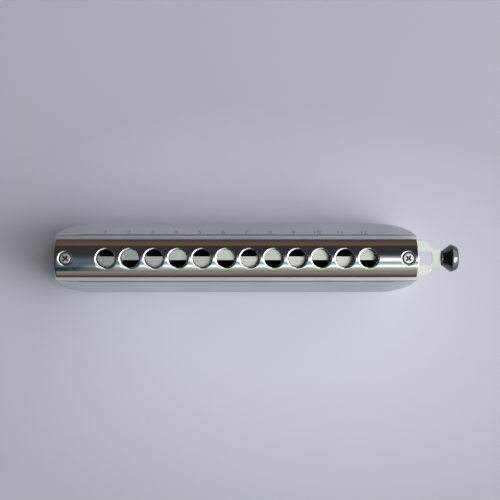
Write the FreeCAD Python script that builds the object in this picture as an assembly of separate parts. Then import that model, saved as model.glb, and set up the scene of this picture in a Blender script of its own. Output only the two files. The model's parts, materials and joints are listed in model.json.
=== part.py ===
import FreeCAD, Part
import math
import os

# Chromatic harmonica with twelve mouth holes, stood on its rear with the mouthpiece up.
# The origin is the centre of the comb's rear face. +Z leaves the mouthpiece, +X runs
# towards the slide button and +Y is the cover that carries the hole numbers.

# How far every cut runs past the faces that it opens
overrun = 1.0

# Gaps between pieces: running ones for the slide, seated ones for what is fixed
running_gap = 0.05
seat_gap = 0.03

# Mouth holes
hole_count = 12
hole_pitch = 9.2
mouth_hole_radius = 3.45

# Comb
comb_overhang = 0.7
comb_half_thickness = 4.5
comb_depth = 33.4
comb_pad_length = 6.7
comb_web_half = 0.5
chamber_web = 1.8
chamber_floor_rise = 1.3
chamber_floor_run = 6.0
chamber_rear_margin = 1.5

# Reed plates
plate_thickness = 1.05
plate_rear = 0.6
slot_front_margin = 5.5
slot_width = 2.4
slot_offset = 1.85

# Reeds, longest at the first hole
reed_longest = 17.5
reed_shortest = 10.5
reed_thickness = 0.25
reed_base_width = 2.1
reed_tip_width = 1.8
reed_side_gap = 0.15
reed_pad_length = 3.4
reed_pad_width = 2.9

# Windsavers
windsaver_thickness = 0.15
windsaver_width = 3.0
windsaver_margin = 1.0

# Long screws that clamp both reed plates to the comb
plate_screw_count = 2
plate_screw_pitch = 64.0
plate_screw_z = 3.9
plate_screw_radius = 0.8
plate_screw_head_radius = 1.5
plate_screw_head_height = 0.6

# Slide and its back plate
back_plate_thickness = 0.8
slide_thickness = 0.8
slide_half_height = 6.7
slide_end_gap = 0.2
window_reach = 1.8
window_width = 7.0
window_inner = 0.7
window_outer = 4.3
back_window_width = 6.2
slide_slot_half_height = 2.5
slide_slot_corner = 1.4
slide_slot_spare = 1.5

# Tongue of the slide outside the mouthpiece
tongue_straight_reach = 3.0
tongue_shoulder_radius = 3.4
tongue_fillet_radius = 1.6
tongue_neck_half = 3.35
tongue_tenon_half = 2.1
tongue_tenon_length = 3.4

# Button
button_standoff = 10.15
button_length = 6.7
button_small_radius = 2.95
button_large_radius = 5.35
button_cone_length = 3.35
button_band_length = 2.35
button_end_radius = 4.1

# Mouthpiece
mouthpiece_end_margin = 19.1
mouthpiece_end_bow = 0.4
mouthpiece_wall = 0.7
mouthpiece_height = 7.8
mouthpiece_shoulder_radius = 0.6
mouthpiece_crown_radius = 11.0
mouthpiece_left_wall = 0.6

# Mouthpiece screws, their captive nuts and the bumper sleeve that stops the slide
screw_inset = 3.75
screw_radius = 0.8
screw_reach = 6.0
screw_head_radius = 2.0
screw_head_height = 1.0
screw_cross_width = 0.55
screw_cross_length = 2.6
screw_cross_depth = 0.6
screw_recess_radius = 2.7
screw_recess_depth = 1.3
screw_nut_half = 1.6
screw_nut_height = 1.6
screw_nut_depth = 3.4
bumper_radius = 1.6

# Covers
cover_thickness = 0.6
cover_overhang = 0.4
cover_half_height = 13.75
cover_rise = 4.65
cover_end_run = 13.8
cover_end_edge_drop = 0.5
cover_end_edge_radius = 3.0
cover_front_radius = 20.5
cover_arc_over = 0.05
cover_lip = 1.2
cover_flange = 3.4

# Cover bolts and nuts, in wells pressed into the covers
bolt_inset = 3.9
bolt_z = 14.0
bolt_radius = 1.0
bolt_head_radius = 1.9
bolt_head_height = 1.2
bolt_slot_width = 0.5
bolt_slot_depth = 0.6
nut_sides = 6
nut_half_flats = 2.0
nut_height = 1.6
well_radius = 3.4

# Slide spring, a hairpin of wire in a pocket of the comb
spring_wire_radius = 0.4
spring_wire_sides = 8
spring_inset = 7.1
spring_reach = 7.0
spring_leg_top = 21.0
spring_bend_z = 6.5
spring_bend_width = 4.6
spring_bend_radius = 2.2
spring_hook_straight = 3.2
spring_hook_bend = 3.0
spring_slot_gap = 0.2
spring_rib_length = 6.0
pocket_half_floor = 0.9
pocket_margin = 0.4
pocket_rear = 5.2

# Places along the harmonica: the holes set the mouthpiece, and it sets what is fixed at its ends
first_hole_x = -hole_pitch * (hole_count - 1) / 2
mouthpiece_half_length = mouthpiece_end_margin - first_hole_x
comb_half_length = mouthpiece_half_length + comb_overhang
comb_pad_start = comb_half_length - comb_pad_length
cover_half_length = comb_half_length + cover_overhang
cover_end_start = cover_half_length - cover_end_run
bolt_x = comb_half_length - bolt_inset
screw_x = mouthpiece_half_length - screw_inset
spring_hook_x = mouthpiece_half_length - spring_inset
spring_leg_x = spring_hook_x - spring_reach
tongue_straight_end = mouthpiece_half_length + tongue_straight_reach
button_inner_x = mouthpiece_half_length + button_standoff
chamber_width = hole_pitch - chamber_web
slide_travel = hole_pitch - window_reach

# Levels and other places worked out from the sizes above
back_plate_top = comb_depth + back_plate_thickness
slide_bottom = back_plate_top + running_gap
slide_top = slide_bottom + slide_thickness
slide_middle = (slide_bottom + slide_top) / 2
groove_half = slide_half_height + running_gap
groove_top = slide_top + running_gap
mouthpiece_half_width = groove_half + mouthpiece_wall
mouthpiece_top = back_plate_top + mouthpiece_height
plate_outer_y = comb_half_thickness + plate_thickness
plate_half_length = comb_pad_start - seat_gap
slot_front = comb_depth - slot_front_margin
cover_front = comb_depth - seat_gap
cover_crease_y = cover_half_height - cover_rise
slide_slot_start = screw_x - bumper_radius - running_gap
slide_slot_end = slide_slot_start + 2 * bumper_radius + slide_travel + slide_slot_spare
slide_left = slide_travel + slide_end_gap + mouthpiece_left_wall - mouthpiece_half_length
fork_end = -screw_x + bumper_radius + running_gap + slide_travel
well_outer_radius = well_radius + cover_thickness
head_floor = mouthpiece_top - screw_recess_depth
nut_top = comb_depth - screw_nut_depth
nut_bottom = nut_top - screw_nut_height
hook_radius = spring_wire_radius + 2 * running_gap
slot_half = spring_wire_radius + spring_slot_gap
hook_left_limit = spring_hook_x - slide_travel
pocket_left = spring_leg_x - spring_wire_radius - seat_gap
pocket_right = spring_hook_x + spring_wire_radius + pocket_margin


def point(x, y, z):
    return FreeCAD.Vector(x, y, z)


X_AXIS = point(1, 0, 0)
Y_AXIS = point(0, 1, 0)
Z_AXIS = point(0, 0, 1)
ORIGIN = point(0, 0, 0)


def block(x_low, x_high, y_low, y_high, z_low, z_high):
    """A box between two corners."""
    return Part.makeBox(x_high - x_low, y_high - y_low, z_high - z_low, point(x_low, y_low, z_low))


def rod_z(radius, x, y, z_low, z_high):
    """A round rod along Z."""
    return Part.makeCylinder(radius, z_high - z_low, point(x, y, z_low), Z_AXIS)


def rod_y(radius, x, z, y_low, y_high):
    """A round rod along Y."""
    return Part.makeCylinder(radius, y_high - y_low, point(x, y_low, z), Y_AXIS)


def flipped(shape):
    """The same shape on the other side of the comb's middle plane."""
    return shape.mirror(ORIGIN, Y_AXIS)


def swapped_ends(shape):
    """The same shape at the other end of the harmonica."""
    return shape.mirror(ORIGIN, X_AXIS)


def cut_all(body, tools):
    """The body less every tool."""
    return body.cut(Part.makeCompound(tools))


def prism(corners, along):
    """A straight prism on a polygon."""
    wire = Part.makePolygon(corners + [corners[0]])
    return Part.Face(wire).extrude(along)


def edge_prism(edges, along):
    """A straight prism on an outline of lines and arcs."""
    return Part.Face(Part.Wire(edges)).extrude(along)


def line(start, end):
    return Part.LineSegment(start, end).toShape()


def arc(start, middle, end):
    return Part.Arc(start, middle, end).toShape()


def slotted_window(x_low, x_high, half_height, corner, z_low, z_high):
    """A long window along X with rounded corners."""
    window = block(x_low, x_high, -half_height, half_height, z_low, z_high)
    upright = [edge for edge in window.Edges if edge.BoundBox.ZLength > (z_high - z_low) / 2]
    return window.makeFillet(corner, upright)


def hole_x(number):
    return first_hole_x + number * hole_pitch


def reed_length(number):
    """Reeds shorten evenly from the first hole to the last."""
    return reed_longest + (reed_shortest - reed_longest) * number / (hole_count - 1)


def chamber_rear(number):
    return slot_front - reed_length(number) - chamber_rear_margin


def plate_screw_places():
    middle = (plate_screw_count - 1) / 2
    return [(number - middle) * plate_screw_pitch for number in range(plate_screw_count)]


def chamber(number):
    """Air chamber of one hole, open to the front and to the upper reed plate."""
    x_low = hole_x(number) - chamber_width / 2
    rear = chamber_rear(number)
    outside = comb_half_thickness + overrun
    front = comb_depth + overrun
    profile = [
        point(x_low, comb_web_half, front),
        point(x_low, outside, front),
        point(x_low, outside, rear),
        point(x_low, comb_web_half + chamber_floor_rise, rear),
        point(x_low, comb_web_half, rear + chamber_floor_run),
    ]
    return prism(profile, point(chamber_width, 0, 0))


def make_comb():
    """Comb with 24 chambers, thicker ends that carry the covers, and the pocket of the spring."""
    length = comb_half_length
    thickness = comb_half_thickness
    body = block(-length, length, -thickness, thickness, 0, comb_depth)
    end_pad = block(comb_pad_start, comb_half_length, -plate_outer_y, plate_outer_y, 0, comb_depth)
    body = body.fuse([end_pad, swapped_ends(end_pad)])
    outside = plate_outer_y + overrun
    tools = []
    for number in range(hole_count):
        upper = chamber(number)
        tools.append(upper)
        tools.append(flipped(upper))
    screw_tip = comb_depth - screw_reach - seat_gap
    nut_half = screw_nut_half + seat_gap
    for end in (-1, 1):
        x = end * screw_x
        nut_low = nut_bottom - seat_gap
        nut_high = nut_top + seat_gap
        tools.append(rod_z(screw_radius + seat_gap, x, 0, screw_tip, comb_depth + overrun))
        tools.append(block(x - nut_half, x + nut_half, -nut_half, outside, nut_low, nut_high))
        tools.append(rod_y(bolt_radius + seat_gap, end * bolt_x, bolt_z, -outside, outside))
    for x in plate_screw_places():
        tools.append(rod_y(plate_screw_radius + seat_gap, x, plate_screw_z, -outside, outside))
    tools.append(
        block(
            pocket_left,
            pocket_right,
            -pocket_half_floor,
            outside,
            pocket_rear,
            comb_depth + overrun,
        )
    )
    rib_low = spring_leg_x + spring_wire_radius + spring_slot_gap
    rib_high = spring_leg_x + spring_bend_width - spring_wire_radius - spring_slot_gap
    rib_rear = spring_bend_z + spring_bend_radius
    rib_top = spring_wire_radius + spring_slot_gap
    rib = block(
        rib_low,
        rib_high,
        -pocket_half_floor - overrun,
        rib_top,
        rib_rear,
        rib_rear + spring_rib_length,
    )
    return cut_all(body, tools).fuse(rib)


def make_reed_plate():
    """Upper reed plate with a blow slot and a draw slot for each hole."""
    plate = block(
        -plate_half_length, plate_half_length, comb_half_thickness, plate_outer_y, plate_rear, comb_depth
    )
    inside = comb_half_thickness - overrun
    outside = plate_outer_y + overrun
    tools = []
    for number in range(hole_count):
        for side in (-1, 1):
            middle = hole_x(number) + side * slot_offset
            slot_rear = slot_front - reed_length(number)
            half = slot_width / 2
            tools.append(block(middle - half, middle + half, inside, outside, slot_rear, slot_front))
    for x in plate_screw_places():
        tools.append(rod_y(plate_screw_radius + seat_gap, x, plate_screw_z, inside, outside))
    return cut_all(plate, tools)


def reed(x, root_z, heading, length, y_low):
    """One reed: a pad fixed beside its slot and a tongue that tapers over the slot."""
    tip = root_z + heading * (length - reed_side_gap)
    pad = root_z - heading * reed_pad_length
    base = reed_base_width / 2
    end = reed_tip_width / 2
    wide = reed_pad_width / 2
    outline = [
        point(x - wide, y_low, pad),
        point(x + wide, y_low, pad),
        point(x + wide, y_low, root_z),
        point(x + base, y_low, root_z),
        point(x + end, y_low, tip),
        point(x - end, y_low, tip),
        point(x - base, y_low, root_z),
        point(x - wide, y_low, root_z),
    ]
    return prism(outline, point(0, reed_thickness, 0))


def make_blow_reeds():
    """Blow reeds of the upper plate, on its inner face with their pads at the front."""
    return Part.makeCompound([
        reed(
            hole_x(number) - slot_offset,
            slot_front,
            -1,
            reed_length(number),
            comb_half_thickness - reed_thickness,
        )
        for number in range(hole_count)
    ])


def make_draw_reeds():
    """Draw reeds of the upper plate, on its outer face with their pads at the rear."""
    return Part.makeCompound([
        reed(
            hole_x(number) + slot_offset,
            slot_front - reed_length(number),
            1,
            reed_length(number),
            plate_outer_y,
        )
        for number in range(hole_count)
    ])


def make_windsavers(side, y_low):
    """Plastic strips over the slots of the reeds on the plate's other face."""
    strips = []
    for number in range(hole_count):
        middle = hole_x(number) + side * slot_offset
        half = windsaver_width / 2
        rear = slot_front - reed_length(number) - windsaver_margin
        front = slot_front + windsaver_margin
        strips.append(block(middle - half, middle + half, y_low, y_low + windsaver_thickness, rear, front))
    return Part.makeCompound(strips)


def make_plate_screws():
    """Screws through the comb that clamp both reed plates, headed above and threaded below."""
    screws = []
    for x in plate_screw_places():
        top = plate_outer_y + plate_screw_head_height
        shank = rod_y(plate_screw_radius, x, plate_screw_z, -plate_outer_y, plate_outer_y)
        head = rod_y(plate_screw_head_radius, x, plate_screw_z, plate_outer_y, top)
        screws.append(shank.fuse(head))
    return Part.makeCompound(screws)


def end_profile(inset):
    """Cover's profile along its length: upright ends, an edge arc, a shoulder arc and a flat top."""
    half = cover_half_length - inset
    base = comb_half_thickness - overrun
    spring_line = cover_crease_y - cover_end_edge_drop
    crown = cover_half_height - inset
    run = cover_half_length - cover_end_start - cover_end_edge_radius
    rise = cover_half_height - spring_line
    shoulder_radius = (run**2 + rise**2 - cover_end_edge_radius**2) / (2 * (rise - cover_end_edge_radius))
    lean = math.atan2(run, shoulder_radius - rise)
    edge_radius = cover_end_edge_radius - inset
    edge_x = cover_half_length - cover_end_edge_radius
    edge_turn = (math.pi / 2 + lean) / 2
    shoulder_y = cover_half_height - shoulder_radius
    reach = shoulder_radius - inset
    corner = point(half, base, -overrun)
    upright = point(half, spring_line, -overrun)
    edge_middle = point(
        edge_x + edge_radius * math.sin(edge_turn), spring_line + edge_radius * math.cos(edge_turn), -overrun
    )
    tangent = point(
        cover_end_start + reach * math.sin(lean), shoulder_y + reach * math.cos(lean), -overrun
    )
    shoulder_middle = point(
        cover_end_start + reach * math.sin(lean / 2), shoulder_y + reach * math.cos(lean / 2), -overrun
    )
    flat = point(cover_end_start, crown, -overrun)
    right = [
        line(corner, upright),
        arc(upright, edge_middle, tangent),
        arc(tangent, shoulder_middle, flat),
    ]
    left = [edge.mirror(ORIGIN, X_AXIS) for edge in reversed(right)]
    other_flat = point(-flat.x, flat.y, flat.z)
    other_corner = point(-corner.x, corner.y, corner.z)
    return right + [line(flat, other_flat)] + left + [line(other_corner, corner)]


def front_profile(inset):
    """Cover's profile across its depth: open rear, flat top and the arc down to the front wall.

    The arc starts a little above the flat top, so that it crosses the top at a clear angle.
    """
    front = cover_front - inset
    crown = cover_half_height + cover_arc_over - inset
    rise = cover_rise + cover_arc_over
    sweep = math.acos(1 - rise / cover_front_radius)
    bend_start = front - cover_front_radius * math.sin(sweep)
    side = -cover_half_length - overrun
    rear = -overrun if inset > 0 else 0
    low = comb_half_thickness - overrun
    middle = point(
        side,
        crown - cover_front_radius * (1 - math.cos(sweep / 2)),
        bend_start + cover_front_radius * math.sin(sweep / 2),
    )
    corners = [
        point(side, crown - rise, front),
        point(side, low, front),
        point(side, low, rear),
        point(side, crown, rear),
        point(side, crown, bend_start),
    ]
    lines = [line(corners[index], corners[index + 1]) for index in range(len(corners) - 1)]
    return lines + [arc(corners[-1], middle, corners[0])]


def cover_form(inset):
    """Solid form of the cover, inset evenly, as the space that both of its profiles share."""
    length = cover_front + 2 * overrun
    along = edge_prism(end_profile(inset), point(0, 0, length))
    across = edge_prism(front_profile(inset), point(2 * (cover_half_length + overrun), 0, 0))
    return along.common(across)


def make_cover():
    """Upper cover: a pressed shell open at the rear, with end flanges and bolt wells."""
    outer = cover_form(0)
    beyond = cover_half_length + overrun
    top = cover_half_height + overrun
    floor_top = plate_outer_y + cover_thickness
    base = comb_half_thickness - overrun
    below = block(-beyond, beyond, base, plate_outer_y, -overrun, comb_depth + overrun)
    outer = outer.cut(below)
    lip_top = cover_half_height - cover_thickness / 2
    lip_low = cover_half_height - cover_thickness - cover_lip
    additions = [block(-cover_end_start, cover_end_start, lip_low, lip_top, 0, cover_thickness)]
    tools = []
    for end in (-1, 1):
        low, high = sorted((end * (cover_half_length - cover_flange), end * beyond))
        flange = block(low, high, plate_outer_y, floor_top, 0, cover_front)
        well = rod_y(well_outer_radius, end * bolt_x, bolt_z, plate_outer_y, top)
        additions.append(outer.common(flange))
        additions.append(outer.common(well))
        tools.append(rod_y(well_radius, end * bolt_x, bolt_z, floor_top, top + overrun))
        tools.append(
            rod_y(bolt_radius + seat_gap, end * bolt_x, bolt_z, plate_outer_y - overrun, floor_top + overrun)
        )
    shell = outer.cut(cover_form(cover_thickness)).fuse(additions)
    return cut_all(shell, tools)


def make_cover_bolts():
    """Slotted bolts that clamp both covers and both reed plates to the comb."""
    bolts = []
    seat = plate_outer_y + cover_thickness
    top = seat + bolt_head_height
    for end in (-1, 1):
        x = end * bolt_x
        shank = rod_y(bolt_radius, x, bolt_z, -seat - nut_height, seat)
        head = rod_y(bolt_head_radius, x, bolt_z, seat, top)
        half = bolt_slot_width / 2
        slot = block(
            x - bolt_head_radius - overrun,
            x + bolt_head_radius + overrun,
            top - bolt_slot_depth,
            top + overrun,
            bolt_z - half,
            bolt_z + half,
        )
        bolts.append(shank.fuse(head).cut(slot))
    return Part.makeCompound(bolts)


def make_cover_nuts():
    """Hexagon nuts of the cover bolts, in the wells of the lower cover."""
    nuts = []
    seat = -plate_outer_y - cover_thickness
    corner_radius = nut_half_flats / math.cos(math.pi / nut_sides)
    low = seat - nut_height - overrun
    for end in (-1, 1):
        corners = []
        for corner in range(nut_sides):
            turn = corner * 2 * math.pi / nut_sides
            corners.append(
                point(
                    end * bolt_x + corner_radius * math.cos(turn),
                    seat,
                    bolt_z + corner_radius * math.sin(turn),
                )
            )
        nut = prism(corners, point(0, -nut_height, 0))
        bore = rod_y(bolt_radius + seat_gap, end * bolt_x, bolt_z, low, seat + overrun)
        nuts.append(nut.cut(bore))
    return Part.makeCompound(nuts)


def mouthpiece_plan(z_low, z_high):
    """Prism on the mouthpiece's plan: straight sides and gently bowed ends."""
    x = mouthpiece_half_length
    y = mouthpiece_half_width
    bow = x + mouthpiece_end_bow
    edges = [
        line(point(-x, -y, z_low), point(x, -y, z_low)),
        arc(point(x, -y, z_low), point(bow, 0, z_low), point(x, y, z_low)),
        line(point(x, y, z_low), point(-x, y, z_low)),
        arc(point(-x, y, z_low), point(-bow, 0, z_low), point(-x, -y, z_low)),
    ]
    return edge_prism(edges, point(0, 0, z_high - z_low))


def mouthpiece_bar():
    """Bar with the mouthpiece's rounded section: upright skirts, shoulder arcs and a crown arc."""
    half = mouthpiece_half_width
    beyond = mouthpiece_half_length + mouthpiece_end_bow + overrun
    crown_centre = mouthpiece_top - mouthpiece_crown_radius
    shoulder_y = half - mouthpiece_shoulder_radius
    reach = mouthpiece_crown_radius - mouthpiece_shoulder_radius
    shoulder_z = crown_centre + math.sqrt(reach**2 - shoulder_y**2)
    lean = math.atan2(shoulder_y, shoulder_z - crown_centre)
    half_turn = (math.pi / 2 + lean) / 2
    tangent_y = mouthpiece_crown_radius * math.sin(lean)
    tangent_z = crown_centre + mouthpiece_crown_radius * math.cos(lean)
    middle_y = shoulder_y + mouthpiece_shoulder_radius * math.sin(half_turn)
    middle_z = shoulder_z + mouthpiece_shoulder_radius * math.cos(half_turn)
    edges = [
        line(point(-beyond, -half, back_plate_top), point(-beyond, half, back_plate_top)),
        line(point(-beyond, half, back_plate_top), point(-beyond, half, shoulder_z)),
        arc(
            point(-beyond, half, shoulder_z),
            point(-beyond, middle_y, middle_z),
            point(-beyond, tangent_y, tangent_z),
        ),
        arc(
            point(-beyond, tangent_y, tangent_z),
            point(-beyond, 0, mouthpiece_top),
            point(-beyond, -tangent_y, tangent_z),
        ),
        arc(
            point(-beyond, -tangent_y, tangent_z),
            point(-beyond, -middle_y, middle_z),
            point(-beyond, -half, shoulder_z),
        ),
        line(point(-beyond, -half, shoulder_z), point(-beyond, -half, back_plate_top)),
    ]
    return edge_prism(edges, point(2 * beyond, 0, 0))


def make_mouthpiece():
    """Mouthpiece with its round holes, screw recesses and the groove that the slide runs in."""
    bar = mouthpiece_bar().common(mouthpiece_plan(back_plate_top - overrun, mouthpiece_top + overrun))
    groove_left = mouthpiece_left_wall - mouthpiece_half_length
    right = mouthpiece_half_length + mouthpiece_end_bow + overrun
    below = back_plate_top - overrun
    above = mouthpiece_top + overrun
    tools = [block(groove_left, right, -groove_half, groove_half, below, groove_top)]
    for number in range(hole_count):
        tools.append(rod_z(mouth_hole_radius, hole_x(number), 0, below, above))
    for end in (-1, 1):
        tools.append(rod_z(screw_radius + seat_gap, end * screw_x, 0, below, above))
        tools.append(rod_z(screw_recess_radius, end * screw_x, 0, head_floor, above))
    return cut_all(bar, tools)


def make_mouthpiece_screws():
    """Cross-recess screws that hold the mouthpiece and the back plate to the comb."""
    crown = head_floor + screw_head_height
    long_half = screw_cross_length / 2
    thin_half = screw_cross_width / 2
    floor = crown - screw_cross_depth
    over = crown + overrun
    cross = block(-long_half, long_half, -thin_half, thin_half, floor, over).fuse(
        block(-thin_half, thin_half, -long_half, long_half, floor, over)
    )
    shank = rod_z(screw_radius, 0, 0, comb_depth - screw_reach, head_floor)
    screw = shank.fuse(rod_z(screw_head_radius, 0, 0, head_floor, crown)).cut(cross)
    screws = []
    for end in (-1, 1):
        copy = screw.copy()
        copy.translate(point(end * screw_x, 0, 0))
        screws.append(copy)
    return Part.makeCompound(screws)


def make_screw_nuts():
    """Square nuts of the mouthpiece screws, captive in pockets of the comb."""
    nuts = []
    for end in (-1, 1):
        x = end * screw_x
        nut = block(
            x - screw_nut_half, x + screw_nut_half, -screw_nut_half, screw_nut_half, nut_bottom, nut_top
        )
        bore = rod_z(screw_radius + seat_gap, x, 0, nut_bottom - overrun, nut_top + overrun)
        nuts.append(nut.cut(bore))
    return Part.makeCompound(nuts)


def make_slide_bumper():
    """Soft sleeve on the right mouthpiece screw, between the two ends of the slide's slot."""
    sleeve = rod_z(bumper_radius, screw_x, 0, back_plate_top, groove_top - seat_gap)
    bore = rod_z(screw_radius + seat_gap, screw_x, 0, back_plate_top - overrun, groove_top + overrun)
    return sleeve.cut(bore)


def make_back_plate():
    """Back plate that the slide runs on, with a window for every chamber."""
    plate = mouthpiece_plan(comb_depth, back_plate_top)
    below = comb_depth - overrun
    above = back_plate_top + overrun
    tools = []
    for number in range(hole_count):
        low = hole_x(number) - back_window_width / 2
        upper = block(low, low + back_window_width, window_inner, window_outer, below, above)
        tools.append(upper)
        tools.append(flipped(upper))
    for end in (-1, 1):
        tools.append(rod_z(screw_radius + seat_gap, end * screw_x, 0, below, above))
    slot_low = hook_left_limit - slot_half
    slot_high = spring_hook_x + slot_half
    tools.append(block(slot_low, slot_high, -slot_half, slot_half, below, above))
    return cut_all(plate, tools)


def slide_outline():
    """Outline of the slide: a square left end and a tongue that shoulders down to its tenon."""
    top = slide_half_height
    neck = tongue_neck_half
    reach = tongue_shoulder_radius + tongue_fillet_radius
    rise = reach - (top - neck)
    run = math.sqrt(reach**2 - rise**2)
    shoulder = point(tongue_straight_end, top - tongue_shoulder_radius, slide_bottom)
    fillet = point(tongue_straight_end + run, neck + tongue_fillet_radius, slide_bottom)
    share = tongue_shoulder_radius / reach
    tangent = shoulder + (fillet - shoulder) * share
    turn = math.atan2(rise, run)
    shoulder_turn = (math.pi / 2 + turn) / 2
    shoulder_middle = shoulder + point(math.cos(shoulder_turn), math.sin(shoulder_turn), 0) * (
        tongue_shoulder_radius
    )
    fillet_turn = (math.pi + turn + 3 * math.pi / 2) / 2
    fillet_middle = fillet + point(math.cos(fillet_turn), math.sin(fillet_turn), 0) * tongue_fillet_radius
    start = point(slide_left, top, slide_bottom)
    straight = point(tongue_straight_end, top, slide_bottom)
    narrow = point(fillet.x, neck, slide_bottom)
    end = point(button_inner_x, neck, slide_bottom)
    tenon = point(button_inner_x, tongue_tenon_half, slide_bottom)
    tip = point(button_inner_x + tongue_tenon_length, tongue_tenon_half, slide_bottom)
    upper = [
        line(start, straight),
        arc(straight, shoulder_middle, tangent),
        arc(tangent, fillet_middle, narrow),
        line(narrow, end),
        line(end, tenon),
        line(tenon, tip),
    ]
    lower = [edge.mirror(ORIGIN, Y_AXIS) for edge in reversed(upper)]
    below = point(tip.x, -tip.y, tip.z)
    closing = point(start.x, -start.y, start.z)
    return Part.Wire(upper + [line(tip, below)] + lower + [line(closing, start)])


def make_slide():
    """Slide with staggered windows, a slot and a fork round the screws and a hole for the spring."""
    plate = Part.Face(slide_outline()).extrude(point(0, 0, slide_thickness))
    below = slide_bottom - overrun
    above = slide_top + overrun
    half = window_width / 2
    tools = []
    for number in range(hole_count + 1):
        middle = hole_x(number)
        side = 1 if number % 2 == 0 else -1
        low = middle - half - window_reach
        if number == hole_count:
            middle = hole_x(number) - window_reach
            low = middle - half
        y_low, y_high = sorted((side * window_inner, side * window_outer))
        tools.append(block(low, middle + half, y_low, y_high, below, above))
    tools.append(
        slotted_window(
            slide_slot_start, slide_slot_end, slide_slot_half_height, slide_slot_corner, below, above
        )
    )
    fork_half = slide_slot_half_height
    tools.append(block(slide_left - overrun, fork_end, -fork_half, fork_half, below, above))
    tools.append(rod_z(hook_radius, spring_hook_x, 0, below, above))
    return cut_all(plate, tools)


def make_button():
    """Turned button: a cone, a band and a bevelled end, with a slot for the slide's tenon."""
    cone_x = button_inner_x + button_cone_length
    end_x = button_inner_x + button_length
    profile = [
        point(button_inner_x, 0, 0),
        point(button_inner_x, button_small_radius, 0),
        point(cone_x, button_large_radius, 0),
        point(cone_x + button_band_length, button_large_radius, 0),
        point(end_x, button_end_radius, 0),
        point(end_x, 0, 0),
    ]
    button = Part.Face(Part.makePolygon(profile + [profile[0]])).revolve(ORIGIN, X_AXIS, 360)
    button.translate(point(0, 0, slide_middle))
    tenon_slot = block(
        button_inner_x - overrun,
        button_inner_x + tongue_tenon_length + seat_gap,
        -tongue_tenon_half - seat_gap,
        tongue_tenon_half + seat_gap,
        slide_bottom - seat_gap,
        slide_top + seat_gap,
    )
    return button.cut(tenon_slot)


def rounded_route(corners, radii):
    """Wire of straight runs joined by tangent arcs, one radius for each inner corner."""
    edges = []
    start = corners[0]
    for index in range(1, len(corners) - 1):
        corner = corners[index]
        back = (corners[index - 1] - corner).normalize()
        ahead = (corners[index + 1] - corner).normalize()
        half_angle = back.getAngle(ahead) / 2
        setback = radii[index - 1] / math.tan(half_angle)
        centre_distance = radii[index - 1] / math.sin(half_angle)
        bisector = (back + ahead).normalize()
        arc_start = corner + back * setback
        arc_end = corner + ahead * setback
        arc_middle = corner + bisector * (centre_distance - radii[index - 1])
        edges.append(line(start, arc_start))
        edges.append(arc(arc_start, arc_middle, arc_end))
        start = arc_end
    edges.append(line(start, corners[-1]))
    return Part.Wire(edges)


def make_slide_spring():
    """Hairpin return spring: a fixed leg, a bend round the comb's rib and an arm to the slide."""
    bend_right = spring_leg_x + spring_bend_width
    route = rounded_route(
        [
            point(spring_leg_x, 0, spring_leg_top),
            point(spring_leg_x, 0, spring_bend_z),
            point(bend_right, 0, spring_bend_z),
            point(spring_hook_x, 0, comb_depth - spring_hook_straight),
            point(spring_hook_x, 0, slide_top - running_gap),
        ],
        [spring_bend_radius, spring_bend_radius, spring_hook_bend],
    )
    corners = []
    for side in range(spring_wire_sides + 1):
        turn = 2 * math.pi * side / spring_wire_sides
        across = spring_wire_radius * math.cos(turn)
        along = spring_wire_radius * math.sin(turn)
        corners.append(point(spring_leg_x + across, along, spring_leg_top))
    return route.makePipeShell([Part.makePolygon(corners)], True, False)


def make_parts():
    """Every node of the harmonica by its name."""
    reed_plate = make_reed_plate()
    blow_reeds = make_blow_reeds()
    draw_reeds = make_draw_reeds()
    inner_windsavers = make_windsavers(1, comb_half_thickness - windsaver_thickness)
    outer_windsavers = make_windsavers(-1, plate_outer_y)
    cover = make_cover()
    return {
        "comb": make_comb(),
        "upper_reed_plate": reed_plate,
        "lower_reed_plate": flipped(reed_plate),
        "upper_blow_reeds": blow_reeds,
        "lower_blow_reeds": flipped(blow_reeds),
        "upper_draw_reeds": draw_reeds,
        "lower_draw_reeds": flipped(draw_reeds),
        "upper_inner_windsavers": inner_windsavers,
        "lower_inner_windsavers": flipped(inner_windsavers),
        "upper_outer_windsavers": outer_windsavers,
        "lower_outer_windsavers": flipped(outer_windsavers),
        "reed_plate_screws": make_plate_screws(),
        "upper_cover": cover,
        "lower_cover": flipped(cover),
        "cover_bolts": make_cover_bolts(),
        "cover_nuts": make_cover_nuts(),
        "slide_back_plate": make_back_plate(),
        "slide": make_slide(),
        "slide_button": make_button(),
        "slide_spring": make_slide_spring(),
        "slide_bumper": make_slide_bumper(),
        "mouthpiece_screw_nuts": make_screw_nuts(),
        "mouthpiece": make_mouthpiece(),
        "mouthpiece_screws": make_mouthpiece_screws(),
    }


os.makedirs("parts", exist_ok=True)
for name, shape in make_parts().items():
    print(name, len(shape.Solids), round(shape.Volume, 2), shape.isValid())
    shape.exportStep("parts/" + name + ".step")
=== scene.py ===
import json
import math

import bmesh
import bpy
from bpy.props import FloatProperty, FloatVectorProperty, PointerProperty
from mathutils import Matrix, Vector

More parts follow.
